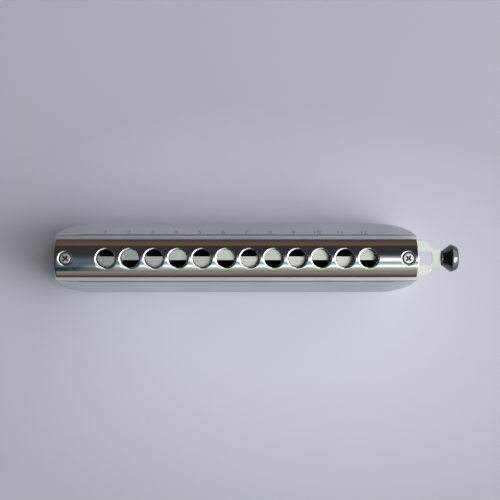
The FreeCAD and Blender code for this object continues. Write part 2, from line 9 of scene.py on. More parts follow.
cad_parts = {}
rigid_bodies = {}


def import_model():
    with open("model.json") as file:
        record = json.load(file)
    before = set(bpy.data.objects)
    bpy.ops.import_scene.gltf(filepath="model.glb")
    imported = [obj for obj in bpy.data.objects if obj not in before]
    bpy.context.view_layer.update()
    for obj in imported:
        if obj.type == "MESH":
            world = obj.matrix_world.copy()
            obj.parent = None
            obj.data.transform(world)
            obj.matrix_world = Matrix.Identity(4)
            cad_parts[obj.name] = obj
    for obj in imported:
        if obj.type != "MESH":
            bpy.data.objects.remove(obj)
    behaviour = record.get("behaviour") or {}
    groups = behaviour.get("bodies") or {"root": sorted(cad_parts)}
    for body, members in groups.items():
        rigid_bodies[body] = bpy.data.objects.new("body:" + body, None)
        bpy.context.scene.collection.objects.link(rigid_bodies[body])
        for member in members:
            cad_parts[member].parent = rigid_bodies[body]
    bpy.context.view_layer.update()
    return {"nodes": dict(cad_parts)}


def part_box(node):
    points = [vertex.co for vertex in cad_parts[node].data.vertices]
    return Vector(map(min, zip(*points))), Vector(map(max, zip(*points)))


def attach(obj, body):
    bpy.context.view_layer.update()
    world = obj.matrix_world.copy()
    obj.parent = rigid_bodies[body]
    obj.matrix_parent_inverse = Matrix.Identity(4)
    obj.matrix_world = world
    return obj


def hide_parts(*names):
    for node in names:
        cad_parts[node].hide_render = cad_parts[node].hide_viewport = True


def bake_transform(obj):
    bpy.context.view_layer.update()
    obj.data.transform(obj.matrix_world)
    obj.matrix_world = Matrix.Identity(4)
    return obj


bl_info = {
    "name": "Chromatic harmonica",
    "version": (1, 0, 0),
    "blender": (4, 5, 0),
    "location": "3D View > Sidebar > Harmonica",
    "description": "Dresses the packed chromatic harmonica and builds its stage",
    "category": "Add Mesh",
}

# The frame is loaded first, because the pieces take their places from it
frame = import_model()

MM = 0.001
CLOSE = 0.001 * MM  # Vertices no further apart than this are merged
NEAR = 0.01 * MM  # Tolerance where edges and vertices are picked by their place
SOFTENED_ANGLE = math.radians(40)  # Edges sharper than this are softened
BODY = "harmonica_body"
SLIDE = "slide"
HOLES = 12
PITCH = 9.2 * MM
SIDES = (1, -1)
SCREW_HEAD = 1.0 * MM  # Height of a mouthpiece screw's head over the floor of its recess


def hole_x(number):
    """Centre of a mouth hole along the harmonica."""
    return (number - (HOLES - 1) / 2) * PITCH


# Settings


def length(name, description, default):
    """A length setting in metres."""
    return FloatProperty(
        name=name, description=description, default=default, unit="LENGTH", precision=5
    )


def colour(name, description, default):
    """A colour setting."""
    return FloatVectorProperty(
        name=name, description=description, default=default, subtype="COLOR", size=3
    )


class MouthpieceSizes(bpy.types.PropertyGroup):
    """Forms of the mouthpiece that are rounder than its solid."""

    hole_radius: length("Hole radius", "Inner radius of a mouth hole", 3.45 * MM)
    rim: length("Rim", "Radius of the rounding round each mouth hole", 0.78 * MM)
    crown_radius: length("Crown radius", "Radius of the top across the mouthpiece", 11 * MM)
    shoulder_radius: length("Shoulder radius", "Radius between the top and the sides", 0.35 * MM)
    end_bow: length("End bow", "How far the ends bow out", 0.15 * MM)
    left_edge: length("Left edge", "How far in the left end's edge starts to fall", 0.6 * MM)
    end_edge: length("Right edge", "How far in the button end's edge starts to fall", 0.35 * MM)
    recess_radius: length("Recess radius", "Radius of a screw's recess", 2.45 * MM)
    recess_rim: length("Recess rim", "Radius of the rounding round a screw's recess", 0.56 * MM)
    screw_x: length("Screw place", "Distance of a screw from the middle", 65.95 * MM)


class CoverSizes(bpy.types.PropertyGroup):
    """Forms of the pressed covers."""

    thickness: length("Thickness", "Thickness of the sheet", 0.45 * MM)
    rise: length("Rise", "Height of the crown over the front crease", 4.65 * MM)
    end_run: length("End run", "Length over which an end curves down", 13.8 * MM)
    end_edge: length("End edge", "Radius of the edge at an end", 3 * MM)
    end_drop: length("End drop", "How far the ends stop below the crease", 0.5 * MM)
    front_radius: length("Front radius", "Radius of the curve down to the crease", 20.5 * MM)
    fold: length("Fold", "Length of the rounding on each side of the crease", 0.3 * MM)
    lip: length("Lip", "Width of the curled lip at the rear", 1.2 * MM)
    well_radius: length("Well radius", "Inner radius of a bolt's well", 3.4 * MM)
    well_x: length("Well place", "Distance of a well from the middle", 66.5 * MM)
    well_z: length("Well height", "Distance of a well from the rear", 14 * MM)
    digit_height: length("Digit height", "Height of a hole number", 2.3 * MM)


class FinishColours(bpy.types.PropertyGroup):
    """Colours of the finishes."""

    chrome: colour("Chrome", "Plated mouthpiece", (0.74, 0.76, 0.79))
    # Painted shade: the dark hole-wall colour stands in for the shade inside the mouth holes, the
    # screw recesses and the screws' crosses
    bore: colour("Hole walls", "Inside of the mouth holes", (0.12, 0.12, 0.12))
    satin: colour("Satin steel", "Pressed covers", (0.52, 0.55, 0.595))
    # The crease colour is painted shade, a dark line standing in for the shade in the covers' fold
    crease: colour("Cover crease", "Thin dark line along the covers' crease", (0.20, 0.21, 0.225))
    nickel: colour("Nickel", "Slide and its back plate", (0.74, 0.76, 0.70))
    dark_chrome: colour("Dark chrome", "Button", (0.14, 0.14, 0.15))
    comb: colour("Comb plastic", "Moulded comb", (0.018, 0.018, 0.020))
    brass: colour("Brass", "Reed plates", (0.72, 0.52, 0.23))
    reed: colour("Reed brass", "Reeds and rivets", (0.80, 0.62, 0.32))
    valve: colour("Valve film", "Windsavers", (0.80, 0.78, 0.70))
    steel: colour("Steel", "Screws, bolts and spring", (0.78, 0.78, 0.77))
    rubber: colour("Rubber", "Bumper sleeve", (0.035, 0.035, 0.038))
    digits: colour("Digits", "Etched hole numbers", (0.24, 0.24, 0.26))
    floor: colour("Floor", "Pale table top", (0.63, 0.65, 0.725))


class StageSizes(bpy.types.PropertyGroup):
    """Places of the camera and of what it looks at."""

    camera_height: length("Camera height", "Camera over the mouthpiece", 450 * MM)
    camera_x: length("Camera place", "Where the camera stands along the harmonica", -11 * MM)
    view_x: length("View X", "Middle of the picture along the harmonica", 4.7 * MM)
    view_y: length("View Y", "Middle of the picture across the harmonica", 3.2 * MM)


# Mesh helpers


def border(bm, test):
    """Edges of the open border whose two ends pass a test on their place."""
    return [e for e in bm.edges if e.is_boundary and all(test(v.co) for v in e.verts)]


def fresh_verts(result):
    """The vertices that an extrusion made."""
    return [g for g in result["geom"] if isinstance(g, bmesh.types.BMVert)]


def grow(bm, edges, move):
    """Extrudes edges, moves the new ones and gives them back with the spokes to them."""
    fresh = dict.fromkeys(fresh_verts(bmesh.ops.extrude_edge_only(bm, edges=edges)))
    for vert in fresh:
        vert.co = move(vert.co.copy())
    is_new = {e: all(v in fresh for v in e.verts) for vert in fresh for e in vert.link_edges}
    return [e for e in is_new if is_new[e]], [e for e in is_new if not is_new[e]]


def quarter(steps):
    """Angles in even steps over a quarter turn."""
    return [step / steps * math.pi / 2 for step in range(steps + 1)]


def linked(name, data):
    """A new object in the scene."""
    made = bpy.data.objects.new(name, data)
    bpy.context.collection.objects.link(made)
    return made


def meshed(name, bm):
    """A mesh from a bmesh, which is used up."""
    mesh = bpy.data.meshes.new(name)
    bm.to_mesh(mesh)
    bm.free()
    return mesh


def applied(carrier):
    """Bmesh of an object with its modifiers or its curve worked out. The object is used up."""
    graph = bpy.context.evaluated_depsgraph_get()
    mesh = bpy.data.meshes.new_from_object(carrier.evaluated_get(graph))
    bm = bmesh.new()
    bm.from_mesh(mesh)
    bpy.data.batch_remove((mesh, carrier, carrier.data))
    return bm


def join(target, bm):
    """Adds a bmesh to another one and uses it up."""
    mesh = meshed("joined", bm)
    target.from_mesh(mesh)
    bpy.data.meshes.remove(mesh)


def shaded_object(name, bm, looks, angle=35, level=False):
    """Turns a bmesh into a smooth object with sharp edges above an angle in degrees.

    With level, faces square to an axis stay flat. The looks are the names of its finishes.
    """
    for face in bm.faces:
        face.smooth = not level or max(abs(part) for part in face.normal) < 0.99999
    for edge in bm.edges:
        edge.smooth = edge.calc_face_angle(math.pi) < math.radians(angle)
    mesh = meshed(name, bm)
    for look in looks:
        mesh.materials.append(finish(look))
    return linked(name, mesh)


def new_piece(name, bm, looks, body, node=None, angle=35, level=False):
    """Turns a bmesh into a piece that rides on a body, and may stand for a CAD node."""
    piece = shaded_object(name, bm, looks, angle, level)
    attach(piece, body)
    if node:
        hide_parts(node)


def carved(bm, tool, operation="DIFFERENCE", solver="EXACT"):
    """Result of a boolean of one bmesh with another, both used up."""
    carriers = []
    for source in (bm, tool):
        bmesh.ops.recalc_face_normals(source, faces=source.faces)
        carriers.append(linked("carving", meshed("carving", source)))
    block, cutter = carriers
    modifier = block.modifiers.new("carving", "BOOLEAN")
    modifier.object = cutter
    modifier.operation = operation
    modifier.solver = solver
    result = applied(block)
    bpy.data.batch_remove((cutter, cutter.data))
    bmesh.ops.dissolve_degenerate(result, dist=CLOSE, edges=result.edges)
    return result


def drop_crumbs(bm, smallest=60):
    """Deletes loose shells of only a few faces, which a boolean can leave behind."""
    left = set(bm.faces)
    while left:
        shell = {left.pop()}
        queue = list(shell)
        while queue:
            near = {f for e in queue.pop().edges for f in e.link_faces} - shell
            shell |= near
            queue += near
        left -= shell
        if len(shell) < smallest:
            bmesh.ops.delete(bm, geom=list(shell), context="FACES")


def softened_piece(name, node, width, look, body, level=False):
    """A piece for a CAD node: its mesh in whole faces, with the outward edges bevelled."""
    bm = bmesh.new()
    bm.from_mesh(frame["nodes"][node].data)
    bmesh.ops.remove_doubles(bm, verts=bm.verts, dist=CLOSE)
    bmesh.ops.dissolve_limit(bm, angle_limit=math.radians(1), verts=bm.verts, edges=bm.edges)
    edges = [e for e in bm.edges if e.is_manifold and e.is_convex]
    bmesh.ops.bevel(
        bm,
        geom=[e for e in edges if e.calc_face_angle(0) > SOFTENED_ANGLE],
        offset=width,
        offset_type="OFFSET",
        segments=2,
        profile=0.5,
        affect="EDGES",
        clamp_overlap=True,
        material=-1,
    )
    new_piece(name, bm, [look], body, node, 30, level)


def close_up(bm, distance):
    """Merges doubles and turns every face outwards."""
    bmesh.ops.remove_doubles(bm, verts=bm.verts, dist=distance)
    bmesh.ops.recalc_face_normals(bm, faces=bm.faces)


def rod(bm, radius, start, end, segments, radius_end=None):
    """A closed round rod between two points."""
    along = Vector(end) - Vector(start)
    turn = Vector((0, 0, 1)).rotation_difference(along).to_matrix().to_4x4()
    place = Matrix.Translation((Vector(start) + Vector(end)) / 2) @ turn
    return bmesh.ops.create_cone(
        bm,
        cap_ends=True,
        segments=segments,
        radius1=radius,
        radius2=radius if radius_end is None else radius_end,
        depth=along.length,
        matrix=place,
    )["verts"]


def spun(profile, axis, centre, segments):
    """Closed turned form: a profile of points that starts and ends on the axis."""
    bm = bmesh.new()
    verts = [bm.verts.new(p) for p in profile]
    for first, second in zip(verts, verts[1:]):
        bm.edges.new((first, second))
    bmesh.ops.spin(
        bm,
        geom=bm.verts[:] + bm.edges[:],
        cent=centre,
        axis=axis,
        angle=math.tau,
        steps=segments,
        use_merge=True,
        use_duplicate=False,
    )
    close_up(bm, 2 * CLOSE)
    return bm


# Shader nodes


def fed(tree, kind, inputs):
    """A new node with some inputs, by name or number, set to values or linked to sockets."""
    node = tree.nodes.new(kind)
    for name, value in inputs.items():
        if isinstance(value, bpy.types.NodeSocket):
            tree.links.new(value, node.inputs[name])
        else:
            node.inputs[name].default_value = value
    return node


def mapped(tree, source, low, high, first=0.0, last=1.0):
    """A number socket taken from first at low to last at high."""
    inputs = {"Value": source, "From Min": low, "From Max": high, "To Min": first, "To Max": last}
    return fed(tree, "ShaderNodeMapRange", inputs).outputs["Result"]


def calculated(tree, operation, *values):
    """Result of a math node on number sockets and plain numbers."""
    node = fed(tree, "ShaderNodeMath", dict(enumerate(values)))
    node.operation = operation
    return node.outputs["Value"]


def mask(tree, *ranges):
    """Product of shares, each a number socket taken from 0 at a low value to 1 at a high one."""
    shares = [mapped(tree, *limits) for limits in ranges]
    total = shares[0]
    for share in shares[1:]:
        total = calculated(tree, "MULTIPLY", total, share)
    return total


def ramp_of(tree, source, stops):
    """Colour ramp over a number socket, with stops of place and colour."""
    ramp = fed(tree, "ShaderNodeValToRGB", {"Fac": source})
    elements = ramp.color_ramp.elements
    while len(elements) < len(stops):
        elements.new(0.5)
    for element, (place, base) in zip(elements, stops):
        element.position = place
        element.color = (*base, 1)
    return ramp.outputs["Color"]


def mixed(tree, factor, first, second):
    """Blend by a number socket from a colour socket to a plain colour or another socket."""
    mix = tree.nodes.new("ShaderNodeMix")
    mix.data_type = "RGBA"
    tree.links.new(factor, mix.inputs["Factor"])
    for name, source in (("A", first), ("B", second)):
        socket = next(i for i in mix.inputs if i.name == name and i.type == "RGBA")
        if isinstance(source, tuple):
            socket.default_value = (*source, 1)
        else:
            tree.links.new(source, socket)
    return next(o for o in mix.outputs if o.type == "RGBA")


# Finishes

# Material name, metallic and roughness
FINISHES = {
    "chrome": ("polished_chrome", 1.0, 0.08),
    "bore": ("hole_walls", 1.0, 0.45),
    "satin": ("satin_steel", 0.6, 0.5),
    "crease": ("crease_line", 0.6, 0.5),
    "nickel": ("brushed_nickel", 1.0, 0.3),
    "dark_chrome": ("dark_chrome", 1.0, 0.1),
    "comb": ("comb_plastic", 0.0, 0.45),
    "brass": ("milled_brass", 1.0, 0.28),
    "reed": ("reed_brass", 1.0, 0.2),
    "valve": ("valve_film", 0.0, 0.4),
    "steel": ("turned_steel", 1.0, 0.25),
    "rubber": ("soft_rubber", 0.0, 0.8),
    "digits": ("etched_digits", 0.6, 0.6),
}
EVEN = (1, 1, 1)
# A noise has a scale, a stretch, a detail and what it drives: rough runs between two
# roughnesses, tones between two factors on the colour, and relief has a bump's depth and strength
NOISES = {
    # Faint polishing swirls and finger haze
    "chrome": [
        (160, EVEN, 3, {"rough": (0.03, 0.07)}),
        (420, EVEN, 2, {"relief": (0.004 * MM, 0.6)}),
    ],
    # Duller inside the mouth holes, where no polishing wheel reaches; the dark colour is painted
    # shade in the holes, the recesses and the screws' crosses
    "bore": [(500, EVEN, 3, {"rough": (0.38, 0.55)})],
    # Brushed along the harmonica
    "satin": [
        (900, (0.03, 1, 1), 5, {"rough": (0.44, 0.56), "relief": (0.004 * MM, 0.5)}),
        (60, (0.4, 1, 1), 3, {"tones": (0.93, 1.07)}),
    ],
    # Painted shade: a darker satin standing in for the shade in the fold between a cover's front
    # wall and its slope
    "crease": [(300, (0.1, 1, 1), 4, {"rough": (0.45, 0.6)})],
    # Short brush marks and uneven tone
    "nickel": [
        (1100, (0.05, 1, 1), 4, {"rough": (0.2, 0.26), "relief": (0.003 * MM, 0.5)}),
        (140, EVEN, 4, {"tones": (0.90, 1.06)}),
    ],
    "dark_chrome": [(260, EVEN, 4, {"rough": (0.07, 0.15)})],
    # Fine spark texture of the mould
    "comb": [(2600, EVEN, 2, {"rough": (0.38, 0.58), "relief": (0.01 * MM, 0.5)})],
    # Milled, with a slight tarnish
    "brass": [
        (1300, (1, 1, 0.06), 4, {"rough": (0.224, 0.392), "relief": (0.003 * MM, 0.5)}),
        (110, EVEN, 4, {"tones": (0.80, 1)}),
    ],
    "reed": [
        (1300, (1, 1, 0.06), 4, {"rough": (0.16, 0.28), "relief": (0.003 * MM, 0.5)}),
        (110, EVEN, 4, {"tones": (0.80, 1)}),
    ],
    "valve": [(300, EVEN, 4, {"tones": (0.92, 1)})],
    "steel": [(900, EVEN, 4, {"rough": (0.26, 0.36)})],
    "rubber": [(1800, EVEN, 4, {"relief": (0.02 * MM, 0.4)})],
    # Etched duller and darker than the sheet round it
    "digits": [(1500, EVEN, 4, {"tones": (0.8, 1.3)})],
}


def plain_finish(name, base, metallic, roughness):
    """Principled material with its plain values on the shader's own sockets."""
    material = bpy.data.materials.new(name)
    material.use_nodes = True
    shader = material.node_tree.nodes["Principled BSDF"]
    shader.inputs["Base Color"].default_value = (*base, 1)
    shader.inputs["Metallic"].default_value = metallic
    shader.inputs["Roughness"].default_value = roughness
    return material, shader


def on_object(tree, inputs):
    """Object coordinates through a mapping."""
    place = fed(tree, "ShaderNodeTexCoord", {}).outputs["Object"]
    return fed(tree, "ShaderNodeMapping", {"Vector": place, **inputs}).outputs["Vector"]


def grain(tree, scale, stretch, detail):
    """Noise on Object coordinates, stretched for a brushed grain."""
    place = on_object(tree, {"Scale": stretch})
    noise = {"Vector": place, "Scale": scale, "Detail": detail}
    return fed(tree, "ShaderNodeTexNoise", noise).outputs["Fac"]


def scaled(base, factor):
    """A colour made lighter or darker."""
    return tuple(min(1.0, part * factor) for part in base)


def finish(name):
    """The finish of a name, made once from its noises and its colour in the scene."""
    title, metallic, roughness = FINISHES[name]
    made = bpy.data.materials.get(title)
    if made:
        return made
    base = tuple(getattr(bpy.context.scene.harmonica_colours, name))
    material, shader = plain_finish(title, base, metallic, roughness)
    tree = material.node_tree
    for scale, stretch, detail, drives in NOISES[name]:
        noise = grain(tree, scale, stretch, detail)
        if "rough" in drives:
            share = mapped(tree, noise, 0.3, 0.7, *drives["rough"])
            tree.links.new(share, shader.inputs["Roughness"])
        if "tones" in drives:
            dark, light = (scaled(base, factor) for factor in drives["tones"])
            tones = ramp_of(tree, noise, ((0.35, dark), (0.65, light)))
            tree.links.new(tones, shader.inputs["Base Color"])
        if "relief" in drives:
            depth, strength = drives["relief"]
            inputs = {"Height": noise, "Distance": depth, "Strength": strength}
            bump = fed(tree, "ShaderNodeBump", inputs)
            tree.links.new(bump.outputs["Normal"], shader.inputs["Normal"])
    return material


def dress(name, *nodes):
    """Gives CAD nodes a finish."""
    for node in nodes:
        materials = frame["nodes"][node].data.materials
        materials.clear()
        materials.append(finish(name))


# Mouthpiece


def square_place(offset, half_x, half_y):
    """Where a point of a ring lands on the rectangle round it, evenly spaced along each side."""
    step = (math.degrees(math.atan2(offset.y, offset.x)) + 45) % 360
    side, share = divmod(step, 90)
    share = share / 45 - 1
    corners = ((1, share), (-share, 1), (-1, -share), (share, -1))
    across, up = corners[int(side) % 4]
    return Vector((half_x * across, half_y * up, 0))


def ringed_cell(bm, middle, radii, half_x, half_y):
    """A rectangle of faces round a hole, with a ring at each radius."""
    centre = Vector((middle, 0, 0))
    verts = bmesh.ops.create_circle(
        bm, cap_ends=False, segments=72, radius=radii[0], matrix=Matrix.Translation(centre)
    )["verts"]
    edges = list(dict.fromkeys(e for v in verts for e in v.link_edges))
    for radius in radii[1:]:
        edges, _ = grow(bm, edges, lambda co: centre + (co - centre).normalized() * radius)
    _, spokes = grow(bm, edges, lambda co: centre + square_place(co - centre, half_x, half_y))
    bmesh.ops.subdivide_edges(bm, edges=spokes, cuts=2, use_grid_fill=True)


def rim_drop(radius, inner, rim):
    """How far a rim rounded over a quarter circle lies below the top at a radius."""
    into = 1 - (radius - inner) / rim
    return rim * (1 - math.sqrt(max(0, 1 - into**2))) if into > 0 else 0


class HARMONICA_OT_mouthpiece(bpy.types.Operator):
    """Chromed mouthpiece with rounded holes, dished screw recesses and rounded ends"""

    bl_idname = "harmonica.mouthpiece"
    bl_label = "Mouthpiece"

    def execute(self, context):
        sizes = context.scene.harmonica_mouthpiece
        low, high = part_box("mouthpiece")
        half_length, half_width, top = high
        band = PITCH / 2
        groove_top = low[2] + 0.9 * MM
        groove_half = half_width - 0.7 * MM
        centre_z = top - sizes.crown_radius
        reach = sizes.crown_radius - sizes.shoulder_radius
        shoulder_y = half_width - sizes.shoulder_radius
        shoulder_z = centre_z + math.sqrt(reach**2 - shoulder_y**2)
        tangent_y = shoulder_y * sizes.crown_radius / reach
        recess_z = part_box("mouthpiece_screws")[1][2] - SCREW_HEAD
        # Beyond the first place in the groove's width, and the second outside it, the plan is
        # stretched to the bowed ends
        inner_end = 69.05 * MM
        wall_end = inner_end - 1.5 * MM

        def crown(y):
            y = abs(y)
            if y <= tangent_y:
                return centre_z + math.sqrt(sizes.crown_radius**2 - y**2)
            return shoulder_z + math.sqrt(
                max(0, sizes.shoulder_radius**2 - (y - shoulder_y) ** 2)
            )

        def end_at(y):
            edge = sizes.end_edge
            bow = half_length - sizes.end_bow * (y / half_width) ** 2
            past = max(0, abs(y) - half_width + edge)
            return bow - edge + math.sqrt(max(0, edge**2 - past**2))

        def plan(co):
            base = inner_end if abs(co.y) < groove_half + 0.1 * MM else wall_end
            if abs(co.x) > base:
                share = (abs(co.x) - base) / (half_length - base)
                co.x = math.copysign(base + share * (end_at(co.y) - base), co.x)
            return co

        def top_height(co):
            height = crown(co.y)
            from_end = end_at(co.y) - abs(co.x)
            edge, fall = (sizes.left_edge, 0.42) if co.x < 0 else (sizes.end_edge, 0.8)
            if from_end < edge:
                height -= edge * fall * (1 - from_end / edge) ** 2
            number = round(co.x / PITCH + (HOLES - 1) / 2)
            if 0 <= number < HOLES:
                radius = math.hypot(co.x - hole_x(number), co.y)
                height -= rim_drop(radius, sizes.hole_radius, sizes.rim)
            radius = math.hypot(abs(co.x) - sizes.screw_x, co.y)
            if radius < sizes.recess_radius - NEAR:
                return recess_z
            return height - rim_drop(radius, sizes.recess_radius, sizes.recess_rim)

        bm = bmesh.new()
        rims = [sizes.hole_radius + sizes.rim * (1 - math.cos(turn)) for turn in quarter(8)]
        for number in range(HOLES):
            ringed_cell(bm, hole_x(number), rims, band, band)
        dish = [0.83 * MM, 1.5 * MM, sizes.recess_radius - 0.03 * MM]
        dish += [
            sizes.recess_radius + sizes.recess_rim * (1 - math.cos(turn)) for turn in quarter(8)
        ]
        for end in SIDES:
            ringed_cell(bm, end * sizes.screw_x, dish, inner_end - sizes.screw_x, band)
        last_cell = hole_x(HOLES - 1) + band
        screw_cell = 2 * sizes.screw_x - inner_end
        columns = 5  # Between the last hole's cell and the screw's
        end_columns_mm = (0.6, 0.42, 0.27, 0.15, 0.07, 0.02, 0)  # From the end
        for end in SIDES:
            start = border(bm, lambda co: abs(co.x - end * last_cell) < NEAR)
            for step in range(1, columns + 1):
                x = end * (last_cell + (screw_cell - last_cell) * step / columns)
                start, _ = grow(bm, start, lambda co: Vector((x, co.y, co.z)))
            outer = border(bm, lambda co: abs(co.x - end * inner_end) < NEAR)
            for from_end in end_columns_mm:
                x = end * (half_length - from_end * MM)
                outer, _ = grow(bm, outer, lambda co: Vector((x, co.y, co.z)))
        bmesh.ops.remove_doubles(bm, verts=bm.verts, dist=5 * CLOSE)
        rows_mm = [5.1, 5.6, 6.1, 6.45, groove_half / MM, 7.0, 7.2, tangent_y / MM]
        rows_mm += [(shoulder_y + sizes.shoulder_radius * share) / MM for share in (0.8, 0.9, 0.97)]
        rows_mm.append(half_width / MM)
        for side in SIDES:
            edges = border(bm, lambda co: abs(co.y - side * band) < NEAR)
            for row in rows_mm:
                edges, _ = grow(bm, edges, lambda co: Vector((co.x, side * row * MM, co.z)))
        # The groove runs out at the button's end, so walls go down on three sides only
        middles = {face: face.calc_center_median() for face in bm.faces}
        skirts = [f for f, co in middles.items() if abs(co.y) > groove_half or co.x < -inner_end]
        under = bm.verts[:]
        lids = bmesh.ops.extrude_face_region(bm, geom=bm.faces[:])
        for vert in fresh_verts(lids):
            vert.co = plan(vert.co)
            vert.co.z = top_height(vert.co)
        for vert in under:
            vert.co = plan(vert.co)
            vert.co.z = groove_top
        for vert in fresh_verts(bmesh.ops.extrude_face_region(bm, geom=skirts)):
            vert.co.z = low[2]
        bmesh.ops.delete(bm, geom=skirts, context="FACES")
        bmesh.ops.recalc_face_normals(bm, faces=bm.faces)
        # The walls of the holes and the floors of the recesses are duller, and their dark colour is
        # painted shade in these hollows
        for face in bm.faces:
            middle = face.calc_center_median()
            from_screw = math.hypot(abs(middle.x) - sizes.screw_x, middle.y)
            wall = abs(face.normal.z) < 0.3 and abs(middle.y) < sizes.hole_radius + 0.1 * MM
            floor = from_screw < sizes.recess_radius + 0.05 * MM
            face.material_index = int(floor or wall and abs(middle.x) < screw_cell)
        looks = ("chrome", "bore")
        new_piece("mouthpiece_chromed", bm, looks, BODY, "mouthpiece", 40)
        return {"FINISHED"}


class HARMONICA_OT_mouthpiece_screws(bpy.types.Operator):
    """Two domed screws with a cross recess, in the ends of the mouthpiece"""

    bl_idname = "harmonica.mouthpiece_screws"
    bl_label = "Mouthpiece screws"

    def execute(self, context):
        low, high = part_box("mouthpiece_screws")
        sizes = context.scene.harmonica_mouthpiece
        head_radius = (high[0] - sizes.screw_x) / MM
        foot, seat, top = (z / MM for z in (low[2], high[2] - SCREW_HEAD, high[2]))
        # Radius and height in mm, from the tip up the shank, under the head and over the dome
        outline = [(0, foot), (0.5, foot), (0.8, foot + 0.4), (0.8, seat)]
        outline += [(head_radius - 0.08, seat), (head_radius, seat + 0.1)]
        outline.append((head_radius, seat + 0.55))
        for turn in quarter(6)[1:]:
            radius = head_radius - 0.2 * (1 - math.cos(turn))
            outline.append((radius, seat + 0.55 + 0.43 * math.sin(turn)))
        flat = outline[-1][0]
        for share in (0.96, 0.7, 0.35, 0):
            outline.append((flat * share, top - 0.02 * share**2))
        both = bmesh.new()
        for end in SIDES:
            x = end * sizes.screw_x
            profile = [(x + radius * MM, 0, height * MM) for radius, height in outline]
            head = spun(profile, (0, 0, 1), (x, 0, 0), 64)
            for turn in (48, 138):
                spin = Matrix.Rotation(math.radians(turn), 4, "Z")
                place = Matrix.Translation((x, 0, high[2])) @ spin
                cross = bmesh.new()
                for vert in bmesh.ops.create_cube(cross, size=1)["verts"]:
                    # Each arm is shorter and narrower at its bottom, 0.75 mm down
                    across, narrow = (1.9, 0.5) if vert.co.z < 0 else (3.3, 0.94)
                    shape = Vector((vert.co.x * across, vert.co.y * narrow, vert.co.z * 1.5))
                    vert.co = place @ (shape * MM)
                head = carved(head, cross)
            join(both, head)
        # Faces down in each cross recess take the dark hole-wall finish, painted shade in the
        # recess
        for face in both.faces:
            middle = face.calc_center_median()
            inside = math.hypot(abs(middle.x) - sizes.screw_x, middle.y) < 1.4 * MM
            deep = middle.z < high[2] - 0.12 * MM or face.normal.z < 0.8
            if inside and middle.z > high[2] - SCREW_HEAD + 0.1 * MM and deep:
                face.material_index = 1
        looks = ("steel", "bore")
        new_piece("mouthpiece_cross_screws", both, looks, BODY, "mouthpiece_screws", 32)
        return {"FINISHED"}


# Covers


def end_columns(sizes, half_length, crown, base):
    """Places along one end of a cover's crown: (distance from the middle, height)."""
    edge = sizes.end_edge
    run = sizes.end_run - edge
    rise = crown - base
    radius = (run**2 + rise**2 - edge**2) / (2 * (rise - edge))
    lean = math.atan2(run, radius - rise)
    start = half_length - sizes.end_run
    steps = 10
    columns = []
    for step in range(steps + 1):
        turn = lean * step / steps
        columns.append((start + radius * math.sin(turn), crown - radius * (1 - math.cos(turn))))
    for step in range(1, steps + 1):
        turn = lean + (math.pi / 2 - lean) * step / steps
        columns.append((half_length - edge + edge * math.sin(turn), base + edge * math.cos(turn)))
    return columns


def front_rows(sizes, front, crown, rear):
    """Places from the rear over the slope and round the crease: (rear distance, height)."""
    slope = sizes.front_radius
    sweep = math.acos(1 - sizes.rise / slope)
    bend = front - slope * math.sin(sweep)
    rows = [(rear + (bend - rear) * step / 6, crown) for step in range(6)]
    for step in range(17):
        turn = (sweep - sizes.fold / slope) * step / 16
        rows.append((bend + slope * math.sin(turn), crown - slope * (1 - math.cos(turn))))
    radius = sizes.fold / math.tan((math.pi / 2 - sweep) / 2)
    edge = crown - sizes.rise - sizes.fold
    for step in range(1, 5):
        turn = sweep + (math.pi / 2 - sweep) * step / 4
        rows.append((front - radius * (1 - math.sin(turn)), edge + radius * math.cos(turn)))
    return rows


def lookup(pairs, place):
    """Value at a place between pairs of place and value."""
    for (x0, y0), (x1, y1) in zip(pairs, pairs[1:]):
        if x0 <= place <= x1 and x1 > x0:
            return y0 + (y1 - y0) * (place - x0) / (x1 - x0)
    return pairs[-1][1]


def cover_height(sizes, x, z):
    """Height of the upper cover's outer face at a place on it."""
    half_length, crown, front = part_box("upper_cover")[1]
    base = crown - sizes.rise - sizes.end_drop
    ends = lookup([(0, crown)] + end_columns(sizes, half_length, crown, base), abs(x))
    fronts = lookup(front_rows(sizes, front, crown, 0), z)
    return base + (ends - base) * (fronts - base) / (crown - base)


def curled_lip(bm, edges, curl, lip, start):
    """Curls the open rear edge inwards, less and less over 8 mm beyond the start of the ends."""
    carry = {}
    for vert in (v for edge in edges for v in edge.verts):
        normal = vert.normal.copy()
        normal.z = 0
        full = 1 - min(1, max(0, (abs(vert.co.x) - start) / (8 * MM)))
        carry[vert] = (vert.co.copy(), normal.normalized(), full)
    # Each step has its turn, what it adds to the depth, and its height where nothing curls
    steps = ((30, 0, 0.75), (60, 0, 0.5), (90, 0, 0.25), (90, lip - curl, 0))
    for angle, extra, straight in steps:
        following = {}
        for vert in fresh_verts(bmesh.ops.extrude_edge_only(bm, edges=edges)):
            others = (e.other_vert(vert) for e in vert.link_edges)
            following[vert] = carry[next(v for v in others if v in carry)]
            place, normal, full = following[vert]
            turn = math.radians(angle)
            vert.co = place - normal * (curl * (1 - math.cos(turn)) + extra) * full
            vert.co.z = curl * (full * (1 - math.sin(turn)) + (1 - full) * straight)
        edges = [
            e for v in following for e in v.link_edges if all(w in following for w in e.verts)
        ]
        edges = list(dict.fromkeys(edges))
        carry = following


